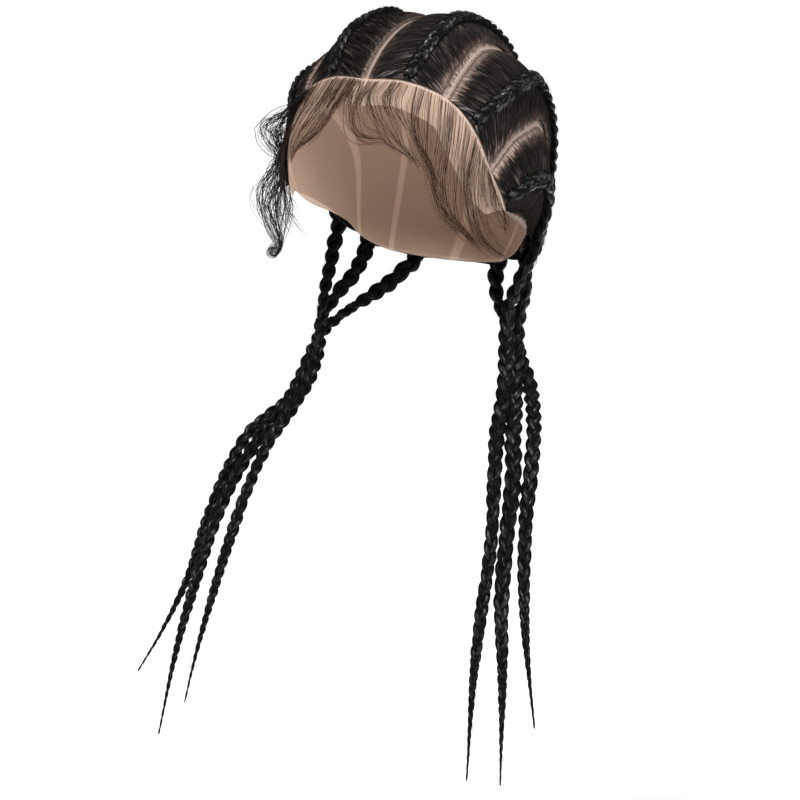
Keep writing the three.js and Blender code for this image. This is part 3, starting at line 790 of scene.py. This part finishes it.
def lock_hairs(rng, rows, i):
    """The hairs of one lock: their paths, the way they face, their radii and their fibre map."""
    row = rows[i]
    away = row["keep"] < CURL_KEEP
    kind = CURL_WAY if away else FRINGE_WAY
    count = row["hairs"]
    points = 30 if in_curl(row) else 16
    t = np.linspace(0, 1, points)
    if away:
        t = np.interp(t, [0, 0.6, 1], [0, 0.86, 1])
    bunch = rng.integers(0, count // 6 + 1, count)
    single = rng.uniform(0, 1, count) < kind["single"]

    # Values of which some are shared by a bunch of hairs
    def drawn(low, high):
        own = rng.uniform(low, high, count)
        near = np.clip(own[bunch] + rng.normal(0, 0.035 * (high - low), count), low, high)
        return np.where(single, own, near)

    short = rng.uniform(0.16, 0.45, count)
    end = 1 - np.abs(rng.normal(0, kind["ends"], count))
    end = np.where(rng.uniform(0, 1, count) < row["short"], short, end)
    share = np.clip(end, 0.12, 1)[:, None] * t
    if away:
        share = np.interp(share, [0, 0.86, 1], [0, 0.98, 1])

    # Arcs that nest inside the lock's own curl
    p, length, free = lock_guide(row, share)
    first, last = lock_guide(row, np.array([0.0, 1.0]))[0]
    chord = mix(first, last, share[..., None])
    fold = drawn(row["nest"], 1.08)
    cross = mix(fold, drawn(row["nest"], 1.08), free)
    p = chord + (p - chord) * mix(fold[:, None], cross[:, None], smooth(share, 0.1, 0.9))[..., None]

    # Hairs on each side lean to the next lock, or fan out where the lock is parted
    spread = drawn(-1, 1)
    seat = row.get("seat", row["root"])
    root, keep = np.full(count, seat), np.zeros(count)
    for way, word in ((-1, "down"), (1, "up")):
        mine = spread * way > 0
        j = i + way
        if word in row["parted"] or not 0 <= j < len(rows):
            root = np.where(mine, seat + spread * row["fan"], root)
            keep = np.where(mine, row["keep"], keep)
            continue
        near, _, _ = lock_guide(rows[j], share)
        own = rng.uniform(0.1, 0.75, count)[:, None]
        part = np.abs(spread)[:, None] * 0.5 * (1 - own * smooth(share, 0.15, 1))
        p = np.where(mine[:, None, None], p + (near - p) * part[..., None], p)
        root = np.where(mine, seat + np.abs(spread) * 0.5 * (rows[j]["root"] - seat), root)

    # Waves, strays and hooked ends
    along = unit(np.gradient(p, axis=1))
    up = square(np.broadcast_to(CURL_FACING, p.shape) if away else on_form(p)[1], along)
    flank = np.cross(along, up)
    if away:
        swing = drawn(0.5, 5.0)[:, None] * np.sin(share * drawn(8, 16)[:, None] + drawn(0, 6)[:, None])
        swing = swing * np.sqrt(np.sin(np.pi * share))
        stray = (3.0 - 11.0 * drawn(0, 1)[:, None]) * np.sin(np.pi * share)
    else:
        swing = drawn(0.8, 2.2)[:, None] * np.sin(share * drawn(5, 11)[:, None] + drawn(0, 6)[:, None])
        stray = drawn(-2.4, 2.4)[:, None] * smooth(share, 0.1, 0.9)
    lift = rng.uniform(-1, 1, count)[:, None] * np.sin(np.pi * np.clip(share, 0, 1)) * (0.5 + 2.5 * free)
    p = p + flank * (stray + swing * smooth(share, 0.05, 0.5))[..., None] + up * lift[..., None]
    curl = smooth(share, kind["hooks"], 1.0) * 1.6 * math.pi
    hook = row["hook"] * rng.uniform(0.5, 1.3, count)[:, None]
    p = p + flank * (hook * (1 - np.cos(curl)))[..., None] + along * (np.abs(hook) * np.sin(curl))[..., None]

    # Roots stand along the hairline
    own = root + rng.uniform(-0.15, 0.15, count)
    middle, _ = on_form(place(root, -1.6 / lace_ahead(root)), 0.8)
    start, _ = on_form(place(own, -rng.uniform(0.3, 3.0, count) / lace_ahead(own)), 0.8)
    p = p + (middle - p[:, 0])[:, None] * mix(1, keep[:, None], smooth(share, 0.0, 0.6))[..., None]
    p = p + (start - middle)[:, None] * mix(1, 0.12, smooth(share, 0.0, 0.55))[..., None]

    # Nothing sinks into the lace
    base, out = on_form(p)
    depth = np.sum((p - base) * out, -1)
    p = p + out * np.maximum(HAIR_CLEAR - depth, 0)[..., None]
    thick = rng.choice(HAIR_RADII, count, p=HAIR_SHARES) * kind["full"]
    radius = thick[:, None] * np.interp(share, [0, 0.25, 0.7, 1], [0.55, 1, 1, 0.4])
    return p, up, radius, np.stack([tints(rng, count, points), share * length], -1)


def baby_hair():
    rng = np.random.default_rng(FRINGE_SEED)
    rows = sorted(LOCKS, key=lambda row: row["root"])
    locks = [lock_hairs(rng, rows, i) for i in range(len(rows))]
    for word, material, wanted in (("baby_hair", BABY_STRANDS, False), ("temple_curl", BLACK_STRANDS, True)):
        mine = [lock for lock, row in zip(locks, rows) if in_curl(row) == wanted]
        me = hair_mesh(word, *(np.concatenate(part) for part in zip(*mine)))
        add_piece(f"{word}_strands", me, material, "fringe", "baby_hair")


baby_hair()


# Floor, light and camera, in metres
FLOOR_HALF, FLOOR_AT = 9, (0, 4, -0.8)
WIG_MIDDLE = (0, 0, -0.1)
ROOM_GLOW, ROOM_SEEN = 0.24, 1.0


def pale_floor():
    bm = bmesh.new()
    bmesh.ops.create_grid(bm, x_segments=8, y_segments=8, size=FLOOR_HALF)
    bmesh.ops.translate(bm, verts=bm.verts, vec=FLOOR_AT)
    me = bpy.data.meshes.new("floor")
    bm.to_mesh(me)
    bm.free()
    m, t, p = started("pale_floor")
    coord = node(t, "ShaderNodeTexCoord")
    grain = noise(t, coord.outputs["Object"], 3.0, 4.0)
    t.links.new(blended(t, grain, (0.86, 0.86, 0.86, 1), (0.89, 0.89, 0.89, 1)), p.inputs["Base Color"])
    p.inputs["Roughness"].default_value = 0.9
    me.materials.append(m)
    ob = bpy.data.objects.new("floor", me)
    bpy.context.scene.collection.objects.link(ob)


def soft_light(name, at, aim, size, power):
    lamp = bpy.data.lights.new(name, "AREA")
    lamp.size, lamp.energy = size, power
    ob = bpy.data.objects.new(name, lamp)
    ob.location = at
    ob.rotation_euler = (Vector(aim) - Vector(at)).to_track_quat("-Z", "Y").to_euler()
    bpy.context.scene.collection.objects.link(ob)


def sun_light(name, at, strength, spread):
    lamp = bpy.data.lights.new(name, "SUN")
    lamp.energy, lamp.angle = strength, math.radians(spread)
    ob = bpy.data.objects.new(name, lamp)
    ob.rotation_euler = (-Vector(at)).to_track_quat("-Z", "Y").to_euler()
    bpy.context.scene.collection.objects.link(ob)


pale_floor()
sun_light("key_light", at=(0.05, -1.0, 1.25), strength=3.9, spread=14)
soft_light("fill_light", at=(1.9, -1.2, 0.7), aim=WIG_MIDDLE, size=0.7, power=55)
soft_light("top_light", at=(0.35, 0.9, 1.5), aim=WIG_MIDDLE, size=0.7, power=10)

# A white room that lights the wig softly
world = bpy.data.worlds.new("studio")
world.use_nodes = True
room = world.node_tree
seen = node(room, "ShaderNodeLightPath").outputs["Is Camera Ray"]
room.nodes["Background"].inputs["Color"].default_value = (1, 1, 1, 1)
glow = ranged(room, seen, 0.0, 1.0, ROOM_GLOW, ROOM_SEEN)
room.links.new(glow, room.nodes["Background"].inputs["Strength"])
bpy.context.scene.world = world
bpy.context.scene.view_settings.view_transform = "Standard"

lens = bpy.data.cameras.new("camera")
lens.sensor_width, lens.lens = 36, 125.9
camera = bpy.data.objects.new("camera", lens)
camera.location = (0.8154, -1.6757, 0.2413)
aim = Vector((-0.0103, -0.0051, -0.2615)) - camera.location
camera.rotation_euler = aim.to_track_quat("-Z", "Y").to_euler()
bpy.context.scene.collection.objects.link(camera)
bpy.context.scene.camera = camera
